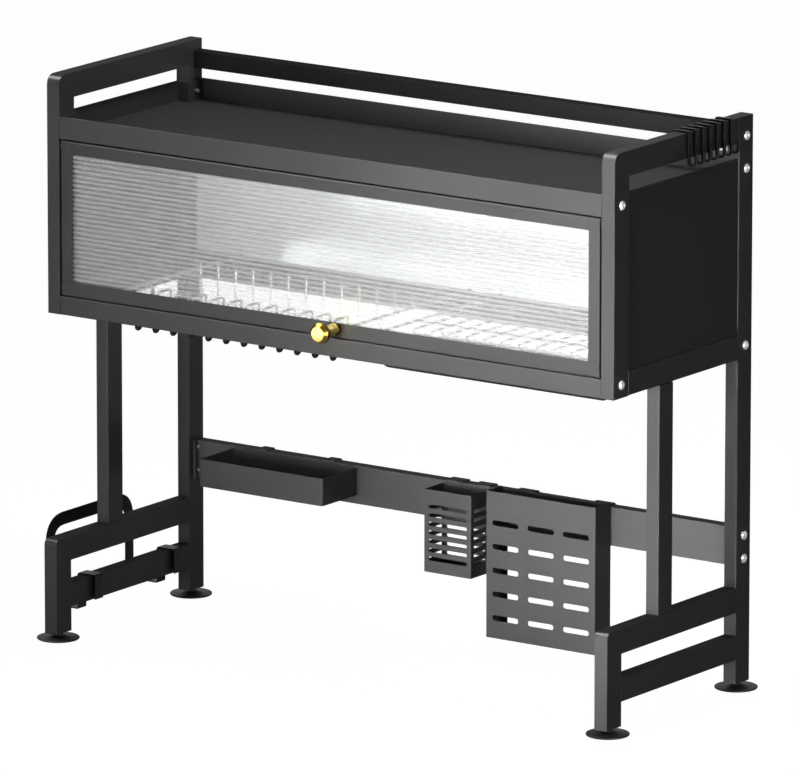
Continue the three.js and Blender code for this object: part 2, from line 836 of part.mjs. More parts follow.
function spongeTray() {
  const front = holderBack - spongeDeep;
  const top = hangRailTop - spongeTopDrop;
  const bottom = top - spongeHigh;
  const outer = slab(rectangle(spongeLeft, spongeRight, front, holderBack, spongeCorner),
    alongZ, bottom, top, cornerSteps);
  const inner = slab(
    rectangle(spongeLeft + sheet, spongeRight - sheet, front + sheet, holderBack - sheet,
      spongeCorner - sheet),
    alongZ, bottom + sheet, top + overrun, cornerSteps,
  );
  const hooks = railHooks((spongeLeft + spongeRight) / 2, spongeHookSpan, spongeHookWide,
    top - spongeHookWide);
  return join([outer.subtract(inner), ...hooks]);
}

// Rounded slot as a cutter, through a wall that faces along the turn
function slot(middle, up, long, high, turn, from, to) {
  const radius = high / 2;
  const shape = rectangle(middle - long / 2, middle + long / 2, up - radius, up + radius, radius);
  return slab(shape, turn, from, to, slotSteps);
}

// Cutlery basket: slotted all round, but its rear wall is whole where the hanging rail covers it
function cutleryBasket() {
  const front = holderBack - cutleryDeep;
  const top = hangRailTop - cutleryTopDrop;
  const bottom = top - cutleryHigh;
  const outer = block(cutleryLeft, cutleryRight, front, holderBack, bottom, top);
  const inner = block(cutleryLeft + sheet, cutleryRight - sheet, front + sheet,
    holderBack - sheet, bottom + sheet, top + overrun);
  const across = (cutleryLeft + cutleryRight) / 2;
  const long = cutleryRight - cutleryLeft - cutlerySlotMargin * 2;
  const deep = cutleryDeep - cutlerySlotMargin - cutleryRearMargin;
  const middle = front + cutlerySlotMargin + deep / 2;
  const slots = [];
  for (let row = 0; row < cutlerySlotRows; row += 1) {
    const up = top - cutlerySlotDrop - row * cutlerySlotPitch;
    const rearRow = row - cutleryCoveredRowCount;
    const rear = rearRow >= 0 && rearRow < cutleryRearRowCount ? holderBack : front;
    slots.push(slot(across, up, long, cutlerySlotHigh, alongY, front - overrun, rear + overrun));
    slots.push(slot(middle, up, deep, cutlerySlotHigh, alongX,
      cutleryLeft - overrun, cutleryRight + overrun));
  }
  const hooks = railHooks(across + cutleryHookShift, cutleryHookSpan, cutleryHookWide,
    top - cutleryHookWide / 2);
  return join([cut(outer.subtract(inner), slots), ...hooks]);
}

// Cutting-board holder: a slotted front, two sides with inward flanges at the back, a strap, a floor
function boardHolder() {
  const front = holderBack - boardDeep;
  const top = hangRailTop + boardRise;
  const bottom = top - boardHigh;
  const strapTop = top - boardStrapDrop;
  const outer = block(boardLeft, boardRight, front, holderBack, bottom, top);
  const inner = block(boardLeft + sheet, boardRight - sheet, front + sheet, holderBack - sheet,
    bottom + sheet, top + overrun);
  const backGap = block(boardLeft + boardFlange, boardRight - boardFlange, holderBack - sheet - overrun,
    holderBack + overrun, bottom + sheet, strapTop - boardStrapHigh);
  const step = block(boardLeft - overrun, boardRight + overrun, holderBack - sheet,
    holderBack + overrun, strapTop, top + overrun);
  const slots = [];
  for (let row = 0; row < boardSlotRows; row += 1) {
    for (let column = 0; column < boardSlotColumns; column += 1) {
      const across = (boardLeft + boardRight) / 2 + (column - 1) * boardSlotAcross;
      slots.push(slot(across, top - boardSlotDrop - row * boardSlotDown, boardSlotLong, boardSlotHigh,
        alongY, front - overrun, front + overrun));
    }
  }
  const hooks = railHooks((boardLeft + boardRight) / 2 + boardHookShift, boardHookSpan, boardHookWide,
    strapTop - boardStrapHigh / 2);
  return join([cut(outer, [inner, backGap, step, ...slots]), ...hooks]);
}

// Lid rack: an arch outside the frame on two tabs that hook over the left lower rail
function lidRack() {
  const half = lidStrip / 2;
  const foot = lowerRailTop - lidDrop;
  const top = baseHeight + lidRise;
  const face = -outerFace - lidReach;
  const arch = ribbon([
    [lidFront + half, foot], [lidFront + half, top - half],
    [lidBack - half, top - half], [lidBack - half, foot],
  ], lidStrip, [lidInnerBend, lidInnerBend]);
  const outer = -outerFace - lidRailGap - lidSheet / 2;
  const inner = -innerFace + lidInnerStandoff + lidSheet / 2;
  const over = lowerRailTop + lidRailTopGap + lidSheet / 2;
  const tab = ribbon([
    [face, foot + lidSheet / 2], [outer, foot + lidSheet / 2],
    [outer, over], [inner, over], [inner, lowerRailTop - lidInnerDrop],
  ], lidSheet, [lidFold, lidFold, lidFold]);
  return join([
    slab(arch, alongX, face, face + lidSheet, turnedSides / 2),
    slab(tab, alongY, lidFront, lidFront + lidStrip, cornerSteps),
    slab(tab, alongY, lidBack - lidStrip, lidBack, cornerSteps),
  ]);
}

// Hook for tea towels and mugs, bent from flat bar over the right top rail
function railHook() {
  const half = hookThick / 2;
  const inner = innerFace - hookGap - half;
  const outer = outerFace + hookGap + half;
  const over = height + hookGap + half;
  const tip = outerFace + hookReach - half;
  const bottom = height - hookHang + half;
  const shape = ribbon([
    [inner, height - hookInnerDrop], [inner, over], [outer, over],
    [outer, bottom], [tip, bottom], [tip, height - hookTipDrop],
  ], hookThick, [hookFold, hookFold, hookCurl, hookCurl]);
  return slab(shape, alongY, -hookWide / 2, hookWide / 2, bendSteps);
}

function hangingRail() {
  const places = [screwPlaces.hanging_rail_upper, screwPlaces.hanging_rail_lower];
  const end = innerFace - weldGap;
  const rail = longRail(hangRailFront, rearFace, hangRailBottom, hangRailTop, []);
  const plates = [-1, 1].map((side) => {
    const edges = [side * end, side * (end - railCap)].sort((a, b) => a - b);
    return block(...edges, rearFace - hangPlateDeep, rearFace, hangRailBottom, hangRailTop);
  });
  return cut(join([rail, ...plates]), places.map(screwHole));
}

for (const [sideName, side] of [["left", -1], ["right", 1]]) {
  const sidePieces = {
    rear_post: rearPost(),
    cabinet_front_frame: cabinetFrontFrame(side),
    cabinet_bottom_rail: deepTube(frontPostRear + weldGap, rearPostFront - weldGap,
      cabinetBottom, sideRailTop),
    side_panel: sidePanel(side),
    mid_post: verticalTube(midPostFront, midPostFront + tubeDeep, baseHeight + weldGap,
      cabinetBottom - weldGap),
    base_frame: baseFrame(),
    base_lower_rail: deepTube(baseLegRear + weldGap, rearPostFront - weldGap,
      lowerRailTop - tubeDeep, lowerRailTop),
  };
  for (const [name, solid] of Object.entries(sidePieces)) {
    addPiece(`${sideName}_${name}`, solid, steelBlack).position.x = side * sideMiddle;
  }
  for (const [name, place] of [["front_foot", baseLegMiddle], ["rear_foot", rearPostMiddle]]) {
    addPiece(`${sideName}_${name}`, foot(), plasticBlack).position.set(side * sideMiddle, place, 0);
  }
  for (const [name, [place, up]] of Object.entries(screwPlaces)) {
    addPiece(`${sideName}_screw_${name}`, frameScrew(side), screwSteel).position.set(0, place, up);
  }
  addPiece(`door_${sideName}_stile`, doorStile(side), steelBlack);
  addPiece(`door_${sideName}_hinge_pin`, hingePin(side), screwSteel);
}

const longPieces = {
  top_tray: topTray(),
  top_guard_rail: longRail(rearFace - guardDeep, rearFace, guardBottom, guardTop, [screwPlaces.guard_rail]),
  cabinet_front_rail: longRail(cabinetFront, cabinetFront + frontRailDeep, cabinetBottom,
    frontRailTop, [screwPlaces.front_rail]),
  cabinet_rear_rail: longRail(rearFace - rearRailDeep, rearFace, cabinetBottom, sideRailTop,
    [screwPlaces.rear_rail]),
  hanging_rail: hangingRail(),
  door_top_rail: doorTopRail(),
  door_bottom_rail: doorBottomRail(),
  sponge_tray: spongeTray(),
  cutlery_basket: cutleryBasket(),
  board_holder: boardHolder(),
  lid_rack: lidRack(),
};
for (const [name, solid] of Object.entries(longPieces)) {
  addPiece(name, solid, steelBlack);
}
addPiece("back_panel", backPanel(), mirrorSteel);
addPiece("door_glass", doorGlass(), ribbedGlass);
addPiece("door_knob", doorKnob(), brass);
addPiece("door_knob_screw", doorKnobScrew(), screwSteel);
addPiece("plate_rack", plateRack(), wireSteel);
addPiece("bowl_rack", bowlRack(), wireSteel);
for (let index = 0; index < hookCount; index += 1) {
  const mesh = addPiece(`rail_hook_${index + 1}`, railHook(), steelBlack);
  mesh.position.y = rearFace - hookRearGap - hookPitch * (hookCount - 1 - index);
}

// The origin lies on the floor under the middle of everything
const middle = new THREE.Box3().setFromObject(rack).getCenter(new THREE.Vector3());
rack.position.set(-middle.x, -middle.y, 0);

export default rack;
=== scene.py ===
"""Looks of a multi-tier dish rack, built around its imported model. Metres, +Z up, -Y is the front."""

import json
import math

import bmesh
import bpy
from mathutils import Euler, Matrix, Vector


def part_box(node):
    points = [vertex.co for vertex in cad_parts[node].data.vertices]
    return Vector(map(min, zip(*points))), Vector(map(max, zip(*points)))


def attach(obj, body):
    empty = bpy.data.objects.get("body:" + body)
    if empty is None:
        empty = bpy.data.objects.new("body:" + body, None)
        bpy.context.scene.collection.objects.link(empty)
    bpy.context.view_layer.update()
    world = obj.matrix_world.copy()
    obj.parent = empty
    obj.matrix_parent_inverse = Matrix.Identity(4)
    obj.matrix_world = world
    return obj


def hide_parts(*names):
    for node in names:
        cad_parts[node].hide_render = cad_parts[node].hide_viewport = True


MM = 0.001

# Camera, as fitted to the photo's edges
AZIMUTH = math.radians(35.10)
ELEVATION = math.radians(12.864)
ROLL = math.radians(0.035)
DISTANCE = 14.081
TARGET = Vector((4.62, 0.0, 350.69)) * MM
FOCAL_PIXELS = 11391.6
FRAME_WIDTH_PIXELS = 795
SENSOR = 36.0

# Softened edges of the steel pieces
EDGE_ROUND = 0.5 * MM
HOOK_ROUND = 0.4 * MM
SHEET_ROUND = 0.35 * MM
FINE_ROUND = 0.2 * MM
PANEL_ROUND = 0.1 * MM
EDGE_SEGMENTS = 2
EDGE_ANGLE = math.radians(32)
FLAT_ANGLE = math.radians(0.5)
WELD = 0.001 * MM

# Wires
WIRE_RADIUS = 1.6 * MM
RING_RADIUS = 1.75 * MM
WIRE_BITE = 0.9 * MM
WIRE_STACK = WIRE_RADIUS * 2 - WIRE_BITE
WIRE_BEND = 4 * MM
RING_BEND = 8 * MM
BEND_STEPS = 6
WIRE_ROUNDNESS = 3
RING_REST = 0.25 * MM
RING_STEP_BACK = 16 * MM
PLATE_PITCH = 27 * MM
PLATE_WIRES = 12
PLATE_LEG_BACK = 9.3 * MM
PLATE_LEG_PITCH = 7 * MM
PLATE_FLOOR_DROP = 44.2 * MM
PLATE_HUMP_HIGH = 48.1 * MM
PLATE_HUMP_DEEP = 28 * MM
PLATE_PEG_BACK = 144.3 * MM
PLATE_PEG_RISE = 16.4 * MM
PLATE_LOW_BAR_BACK = 77.3 * MM
SLEEVE_RADIUS = 2.6 * MM
SLEEVE_HIGH = 7 * MM
BOWL_PITCH = 25.7 * MM
BOWL_WIRES = 12
BOWL_FIRST = 25 * MM
BOWL_FRONT_BACK = 45.3 * MM
BOWL_REAR_BACK = 145.3 * MM
BOWL_MIDDLE_BACK = 94.3 * MM
BOWL_LIP_DROP = 8 * MM
BOWL_SLOPE_BACK = 73.3 * MM
BOWL_SLOPE_DROP = 12 * MM
BOWL_FLOOR_BACK = 97.3 * MM
BOWL_FLOOR_DROP = 27.1 * MM
BOWL_FLOOR_END_BACK = 139.3 * MM
BOWL_FRONT_BAR_DROP = 41 * MM

# Floor: it lies just under the feet when they are screwed right out.
# It is grey where it lights the rack, and white where it is seen.
FLOOR_DROP = 10.5 * MM
FLOOR_HALF = 12.0
FLOOR_BOUNCE = 0.15
FLOOR_TONE = 0.9
FLOOR_GLOW = 1.22
FLOOR_GLOW_SHARE = 0.8

# World: dim where it lights the rack, and white where it is seen
WORLD_LIGHT = 0.05
WORLD_WHITE = 1.0

# Boxes in front of the rack, brighter to the right: place across and power, then what they share
FRONT_BOXES = ((-0.4, 0.22), (-0.2, 0.3), (0.0, 0.54), (0.2, 0.98), (0.42, 1.2))
FRONT_BOX_PLACE = -0.95
FRONT_BOX_HEIGHT = 0.4
FRONT_BOX_SIZE = (0.2, 1.0)
FRONT_BOX_SPREAD = 26.0

# Other lamps, measured from the rack's middle: name, place, aim, size and power
TOP_BOX = ("top_box", (0.3, 0.0, 1.9), (0.1, 0.0, 0.7), (0.6, 0.4), 7.0)
CABINET_FILL = ("cabinet_fill", (-0.12, -0.105, 0.625), (-0.12, 0.14, 0.52), (0.5, 0.02), 0.4)
HIGHLIGHT_PANELS = (
    ("bend_panel", (-1.1, -0.59, 2.31), (0.0, -0.1, 0.7), (1.4, 1.1), 200.0),
    ("edge_panel", (1.83, -0.65, 0.42), (0.42, -0.14, 0.42), (1.6, 0.8), 160.0),
    ("glass_panel", (-0.78, -1.48, 0.22), (0.04, -0.14, 0.54), (1.1, 0.8), 4.6),
)

# Ribs of the glass
RIB_PITCH = 6 * MM
RIB_HIGH = 0.8 * MM
RIB_STEPS = 10

# Turned pieces: their end faces shrink to this radius on the axis
TURNED_SIDES = 48
AXIS_RADIUS = 0.0001

# Knob: its outline in shares of the head's radius and of the reach from the door
KNOB_NECK = ((0.6, 0.0), (0.6, 0.05), (0.56, 0.1), (0.55, 0.42), (0.6, 0.52), (0.9, 0.72))
KNOB_RIM_ACROSS = 0.94
KNOB_RIM_START = 0.77
KNOB_RIM_END = 0.88
KNOB_RIM_ROUND = 0.06
KNOB_RIM_STEPS = 4
KNOB_FACE_EDGE = (0.7, 0.988)
KNOB_FACE = ((0.66, 0.998), (0.63, 1.0))
# Bands of the knob in near-black brass, in shares of the reach: painted shadow at the base, painted dark
# reflection on the shoulder
KNOB_PAINTED_SHADOW_END = 0.1
KNOB_PAINTED_REFLECTION_START = 0.7
KNOB_PAINTED_REFLECTION_END = 0.985

# Screws: shares of the head's radius and of the crown's height
SCREW_SIDES = 36
SCREW_CROWN = 2.6 * MM
SCREW_SHANK_SHARE = 0.43
SCREW_DOME_STEPS = 7
SCREW_DOME_STEP = 12
SCREW_DOME_FLATNESS = 0.75
HEX_SHARE = 0.42
HEX_DEPTH_SHARE = 0.55

# Feet
FOOT_RIM = 2.4 * MM
FOOT_RIM_STEPS = 6
FOOT_EDGE_IN = 0.8 * MM
FOOT_HUB = 8 * MM
FOOT_STEM = 5 * MM
FOOT_CROWN = 4.6 * MM
FOOT_STEM_BEVEL = 0.6 * MM

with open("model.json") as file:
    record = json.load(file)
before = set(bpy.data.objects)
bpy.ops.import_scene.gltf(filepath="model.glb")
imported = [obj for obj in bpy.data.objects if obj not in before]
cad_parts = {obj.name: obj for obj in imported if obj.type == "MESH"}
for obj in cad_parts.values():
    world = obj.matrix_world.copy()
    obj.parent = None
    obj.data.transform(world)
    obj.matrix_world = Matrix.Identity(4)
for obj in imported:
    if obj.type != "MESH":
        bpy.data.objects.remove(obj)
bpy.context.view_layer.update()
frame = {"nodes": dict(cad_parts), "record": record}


def rack_middle():
    """The rack's own middle on the floor: half way along the tray and half way over the base."""
    tray_low, tray_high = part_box("top_tray")
    base_low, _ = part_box("left_base_frame")
    _, post_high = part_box("left_rear_post")
    return Vector(((tray_low.x + tray_high.x) / 2, (base_low.y + post_high.y) / 2, 0.0))


# Materials


def new_material(name):
    material = bpy.data.materials.new(name)
    material.use_nodes = True
    tree = material.node_tree
    tree.nodes.clear()
    return material, tree


def add_node(tree, kind, **values):
    """A shader node with its sockets set by name; a tuple (node, output) links instead."""
    node = tree.nodes.new(kind)
    for key, value in values.items():
        if hasattr(node, key) and key.islower():
            setattr(node, key, value)
            continue
        socket = node.inputs[key.replace("_", " ")]
        if isinstance(value, tuple) and isinstance(value[0], bpy.types.Node):
            tree.links.new(value[0].outputs[value[1]], socket)
        else:
            socket.default_value = value
    return node


def linear(value):
    """A grey or colour written as on screen, from 0 to 1, as the linear value that a shader takes."""
    return value / 12.92 if value <= 0.04045 else ((value + 0.055) / 1.055) ** 2.4


def colour(red, green, blue):
    return (linear(red), linear(green), linear(blue), 1.0)


def spread(tree, value, low, high, start=0.0):
    """A value that runs from start to one, spread over low to high."""
    return add_node(tree, "ShaderNodeMapRange", Value=value, From_Min=start, To_Min=low, To_Max=high)


def output(tree, shader):
    end = tree.nodes.new("ShaderNodeOutputMaterial")
    tree.links.new(shader.outputs[0], end.inputs["Surface"])


def painted(name, dark, light, roughness, grain, grain_depth, cloud, metallic=0.0, specular=0.5, edge=1.0):
    """Painted or coated surface: a fine grain in the bump, slow changes in colour and roughness."""
    material, tree = new_material(name)
    place = tree.nodes.new("ShaderNodeTexCoord")
    slow = add_node(tree, "ShaderNodeTexNoise", Vector=(place, "Object"), Scale=cloud, Detail=3.0)
    fine = add_node(tree, "ShaderNodeTexNoise", Vector=(place, "Object"), Scale=grain, Detail=2.0)
    tint = add_node(tree, "ShaderNodeValToRGB", Fac=(slow, "Fac"))
    tint.color_ramp.elements[0].position = 0.3
    tint.color_ramp.elements[1].position = 0.7
    tint.color_ramp.elements[0].color = dark
    tint.color_ramp.elements[1].color = light
    sheen = spread(tree, (fine, "Fac"), roughness - 0.05, roughness + 0.05)
    bump = add_node(tree, "ShaderNodeBump", Height=(fine, "Fac"), Strength=0.25, Distance=grain_depth)
    shader = add_node(
        tree,
        "ShaderNodeBsdfPrincipled",
        Base_Color=(tint, "Color"),
        Roughness=(sheen, "Result"),
        Normal=(bump, "Normal"),
        Metallic=metallic,
        Specular_IOR_Level=specular,
        Specular_Tint=(edge, edge, edge, 1.0),
    )
    output(tree, shader)
    return material


def brushed(name, base, roughness, scratch_scale, scratch_depth, metallic=1.0):
    """Bare metal with fine drawn lines."""
    material, tree = new_material(name)
    place = tree.nodes.new("ShaderNodeTexCoord")
    stretch = add_node(tree, "ShaderNodeMapping", Vector=(place, "Object"))
    stretch.inputs["Scale"].default_value = (0.15, 1.0, 1.0)
    lines = add_node(tree, "ShaderNodeTexNoise", Vector=(stretch, "Vector"), Scale=scratch_scale, Detail=4.0)
    sheen = spread(tree, (lines, "Fac"), roughness * 0.7, roughness * 1.3)
    bump = add_node(tree, "ShaderNodeBump", Height=(lines, "Fac"), Strength=0.2, Distance=scratch_depth)
    tint = add_node(tree, "ShaderNodeValToRGB", Fac=(lines, "Fac"))
    tint.color_ramp.elements[0].color = tuple(part * 0.85 for part in base[:3]) + (1.0,)
    tint.color_ramp.elements[1].color = base
    shader = add_node(
        tree,
        "ShaderNodeBsdfPrincipled",
        Base_Color=(tint, "Color"),
        Roughness=(sheen, "Result"),
        Normal=(bump, "Normal"),
        Metallic=metallic,
    )
    output(tree, shader)
    return material


def ribbed_glass(name, veil, rib, milk_share):
    """Ribbed glass: clear, with a shine and some milk that veil what is behind, weaker between ribs: painted
    rib shading on top of the real ribs.
    """
    material, tree = new_material(name)
    place = tree.nodes.new("ShaderNodeTexCoord")
    up = add_node(tree, "ShaderNodeSeparateXYZ", Vector=(place, "Object"))
    turn = add_node(tree, "ShaderNodeMath", operation="MULTIPLY")
    tree.links.new(up.outputs["Z"], turn.inputs[0])
    turn.inputs[1].default_value = 2 * math.pi / RIB_PITCH
    # The shine and the milk rise and fall with the rib pitch: painted rib shading
    wave = add_node(tree, "ShaderNodeMath", operation="SINE")
    tree.links.new(turn.outputs[0], wave.inputs[0])
    share = spread(tree, (wave, "Value"), veil - rib, veil + rib, start=-1.0)
    clear = add_node(tree, "ShaderNodeBsdfTransparent", Color=(0.99, 0.995, 0.995, 1.0))
    shine = add_node(tree, "ShaderNodeBsdfGlossy", Color=(0.97, 0.975, 0.975, 1.0), Roughness=0.3)
    milk = add_node(tree, "ShaderNodeBsdfDiffuse", Color=(0.9, 0.91, 0.91, 1.0))
    cloud = spread(tree, (wave, "Value"), milk_share - rib, milk_share + rib, start=-1.0)
    front = add_node(tree, "ShaderNodeMixShader", Fac=(share, "Result"))
    tree.links.new(clear.outputs[0], front.inputs[1])
    tree.links.new(shine.outputs[0], front.inputs[2])
    body = add_node(tree, "ShaderNodeMixShader", Fac=(cloud, "Result"))
    tree.links.new(front.outputs[0], body.inputs[1])
    tree.links.new(milk.outputs[0], body.inputs[2])
    output(tree, body)
    return material


def paint(name, low, high, roughness, cloud):
    """Satin powder coat: a little metal in it gives the sheen, even at a low angle."""
    return painted(name, colour(low, low, low), colour(high, high, high + 0.005), roughness=roughness,
                   grain=2600.0, grain_depth=0.03 * MM, cloud=cloud, metallic=0.1, specular=0.0, edge=0.4)


STEEL = paint("black_powder_coat", 0.345, 0.37, 0.28, 7.0)
DOOR_PAINT = paint("black_door_coat", 0.335, 0.36, 0.28, 6.0)
# A lighter copy of the black coat for the holders and the hanging rail at the back: painted light
HOLDER_PAINTED_LIGHT = paint("black_holder_coat_painted_light", 0.37, 0.395, 0.34, 9.0)
TRAY_PAINT = paint("black_tray_coat", 0.345, 0.37, 0.3, 4.0)
PANEL = paint("black_side_panel", 0.29, 0.31, 0.4, 5.0)
# A darker copy of the black coat for the top guard rail: painted shade on its front face
GUARD_PAINT_SHADED = paint("guard_coat_painted_shade", 0.16, 0.19, 0.3, 8.0)
MIRROR = painted("mirror_back_panel", colour(0.88, 0.885, 0.89), colour(0.9, 0.905, 0.91),
                 roughness=0.12, grain=900.0, grain_depth=0.002 * MM, cloud=3.0, metallic=0.35, specular=0.2)
DARK_WIRE = painted("black_hook_paint", colour(0.04, 0.04, 0.04), colour(0.06, 0.06, 0.06),
                    roughness=0.35, grain=2600.0, grain_depth=0.04 * MM, cloud=20.0, specular=0.05)
FOOT_PLASTIC = painted("black_foot_plastic", colour(0.06, 0.06, 0.06), colour(0.09, 0.09, 0.09),
                       roughness=0.5, grain=1500.0, grain_depth=0.08 * MM, cloud=30.0, specular=0.1)
WIRE_STEEL = brushed("bright_rack_wire", colour(0.7, 0.71, 0.72), 0.35, 700.0, 0.02 * MM)
SCREW_STEEL = brushed("bright_screw_steel", colour(0.86, 0.86, 0.86), 0.2, 1500.0, 0.01 * MM, metallic=0.35)
BRASS = brushed("polished_brass", colour(0.97, 0.88, 0.5), 0.16, 900.0, 0.008 * MM)
# Near-black brass for the knob's base and shoulder: painted shadow and painted dark reflection
BRASS_PAINTED_SHADE = brushed("brass_painted_shade", colour(0.36, 0.29, 0.1), 0.25, 900.0, 0.008 * MM)
GLASS = ribbed_glass("ribbed_frosted_glass", veil=0.08, rib=0.024, milk_share=0.17)


# Mesh helpers


def place_piece(name, mesh_or_curve, body, material, slot, *nodes):
    """A new object in the scene that rides on a body and stands for CAD nodes."""
    piece = bpy.data.objects.new(name, mesh_or_curve)
    bpy.context.scene.collection.objects.link(piece)
    piece.data.materials.clear()
    piece.data.materials.append(material)
    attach(piece, body)
    if nodes:
        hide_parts(*nodes)
    return piece


def soften(node, body, material, slot, round_by):
    """A copy of a CAD piece with its edges rounded, in place of the sharp one."""
    mesh = frame["nodes"][node].data.copy()
    form = bmesh.new()
    form.from_mesh(mesh)
    bmesh.ops.remove_doubles(form, verts=form.verts, dist=WELD)
    bmesh.ops.dissolve_limit(form, angle_limit=FLAT_ANGLE, verts=form.verts, edges=form.edges)
    form.to_mesh(mesh)
    form.free()
    mesh.shade_smooth()
    piece = place_piece(node + "_finish", mesh, body, material, slot, node)
    edge = piece.modifiers.new("edge", "BEVEL")
    edge.width = round_by
    edge.segments = EDGE_SEGMENTS
    edge.limit_method = "ANGLE"
    edge.angle_limit = EDGE_ANGLE
    edge.harden_normals = False
    level = piece.modifiers.new("level", "WEIGHTED_NORMAL")
    level.mode = "FACE_AREA"
    level.weight = 100
    return piece


def lathe(name, profile, sides, turn, place):
    """A turned mesh from pairs of radius and height, turned and moved; a radius may be a function."""
    form = bmesh.new()
    rings = []
    for radius, height in profile:
        ring = []
        for side in range(sides):
            angle = 2 * math.pi * side / sides
            reach = radius(angle) if callable(radius) else radius
            ring.append(form.verts.new((reach * math.cos(angle), reach * math.sin(angle), height)))
        rings.append(ring)
    for lower, upper in zip(rings, rings[1:]):
        for side in range(sides):
            after = (side + 1) % sides
            form.faces.new((lower[side], lower[after], upper[after], upper[side]))
    form.faces.new(list(reversed(rings[0])))
    form.faces.new(rings[-1])
    bmesh.ops.recalc_face_normals(form, faces=form.faces)
    mesh = bpy.data.meshes.new(name)
    form.to_mesh(mesh)
    form.free()
    mesh.transform(Matrix.Translation(place) @ turn)
    mesh.shade_smooth()
    mesh.set_sharp_from_angle(angle=EDGE_ANGLE)
    return mesh


def arc(middle_radius, middle_height, radius, start, end, steps):
    """Points of a round edge in a lathe profile, angles in degrees from the outward direction."""
    points = []
    for step in range(steps + 1):
        angle = math.radians(start + (end - start) * step / steps)
        points.append((middle_radius + radius * math.cos(angle), middle_height + radius * math.sin(angle)))
    return points


def rounded(corners, bend):
    """A wire's path with each inner corner turned into an arc."""
    path = [Vector(corners[0])]
    for before, corner, after in zip(corners, corners[1:], corners[2:]):
        corner = Vector(corner)
        inward = Vector(before) - corner
        onward = Vector(after) - corner
        half = inward.angle(onward) / 2
        setback = min(bend / math.tan(half), inward.length / 2, onward.length / 2)
        start = corner + inward.normalized() * setback
        end = corner + onward.normalized() * setback
        for step in range(BEND_STEPS + 1):
            share = step / BEND_STEPS
            path.append(start.lerp(corner, share).lerp(corner.lerp(end, share), share))
    path.append(Vector(corners[-1]))
    return path


def wires(name, paths, radius):
    """A curve of round wires, one open spline for each path."""
    curve = bpy.data.curves.new(name, "CURVE")
    curve.dimensions = "3D"
    curve.bevel_depth = radius
    curve.bevel_resolution = WIRE_ROUNDNESS
    curve.use_fill_caps = True
    for path in paths:
        spline = curve.splines.new("POLY")
        spline.points.add(len(path) - 1)
        for point, stop in zip(spline.points, path):
            point.co = (*stop, 1.0)
        spline.use_smooth = True
    return curve


# Wire racks


def ring_path(left, right, front, rear, height, low):
    """A rack's frame wire: open at the rear, and stepped down to the front rail."""
    step = front + RING_STEP_BACK
    return rounded([
        (left, rear, height), (left, step, height), (left, front, low),
        (right, front, low), (right, step, height), (right, rear, height),
    ], RING_BEND)


def rack_frame(node):
    """Left, right, front and rear of a rack's frame wire, from the CAD piece."""
    low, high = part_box(node)
    return low.x + RING_RADIUS, high.x - RING_RADIUS, low.y + RING_RADIUS, high.y


def level_bar(left, right, place, height):
    """A straight wire across a rack."""
    return [Vector((left, place, height)), Vector((right, place, height))]


def low_bar(left, right, place, height, floor):
    """A wire across a rack that hangs down from the frame wire at both ends."""
    return rounded([
        (left, place, height), (left, place, floor), (right, place, floor), (right, place, height),
    ], RING_BEND)


def ring_heights():
    """The frames' wires lie on top of the cabinet's side rails, and at the front on the front rail."""
    _, side_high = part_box("left_cabinet_bottom_rail")
    _, front_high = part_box("cabinet_front_rail")
    return side_high.z + RING_RADIUS + RING_REST, front_high.z + RING_RADIUS + RING_REST


def make_plate_rack():
    """Wires bent down, up over a hump and up again as pegs, with black sleeves on the front bends as painted
    shade under the front rail.
    """
    left, right, front, rear = rack_frame("plate_rack")
    height, low = ring_heights()
    floor = height - PLATE_FLOOR_DROP
    leg = front + PLATE_LEG_BACK
    hump_front = leg + PLATE_LEG_PITCH
    hump_rear = hump_front + PLATE_HUMP_DEEP
    peg = front + PLATE_PEG_BACK
    top = height + PLATE_PEG_RISE
    paths = []
    sleeves = []
    for index in range(PLATE_WIRES):
        across = left + PLATE_PITCH * (index + 1)
        paths.append(rounded([
            (across, front, low), (across, leg, low),
            (across, leg, floor), (across, hump_front, floor),
            (across, hump_front, floor + PLATE_HUMP_HIGH), (across, hump_rear, floor + PLATE_HUMP_HIGH),
            (across, hump_rear, floor), (across, peg, floor), (across, peg, top),
        ], WIRE_BEND))
        # Black sleeves on the lower front bends: painted shade where the bends hang under the front rail
        sleeves.append(rounded([
            (across, leg, floor + SLEEVE_HIGH), (across, leg, floor),
            (across, hump_front, floor), (across, hump_front, floor + SLEEVE_HIGH),
        ], WIRE_BEND))
    paths.append([Vector((right, peg, height)), Vector((right, peg, top))])
    paths.append(level_bar(left, right, peg + WIRE_STACK, height - WIRE_STACK))
    paths.append(low_bar(left, right, front + PLATE_LOW_BAR_BACK, height, floor - WIRE_STACK))
    place_piece("plate_rack_wires", wires("plate_rack_wires", paths, WIRE_RADIUS), "plate_rack",
                WIRE_STEEL, "rack_wire", "plate_rack")
    place_piece("plate_rack_shade_sleeves", wires("plate_rack_shade_sleeves", sleeves, SLEEVE_RADIUS), "plate_rack",
                FOOT_PLASTIC, "black_plastic")
    ring = wires("plate_rack_frame", [ring_path(left, right, front, rear, height, low)], RING_RADIUS)
    place_piece("plate_rack_frame", ring, "plate_rack", WIRE_STEEL, "rack_wire")


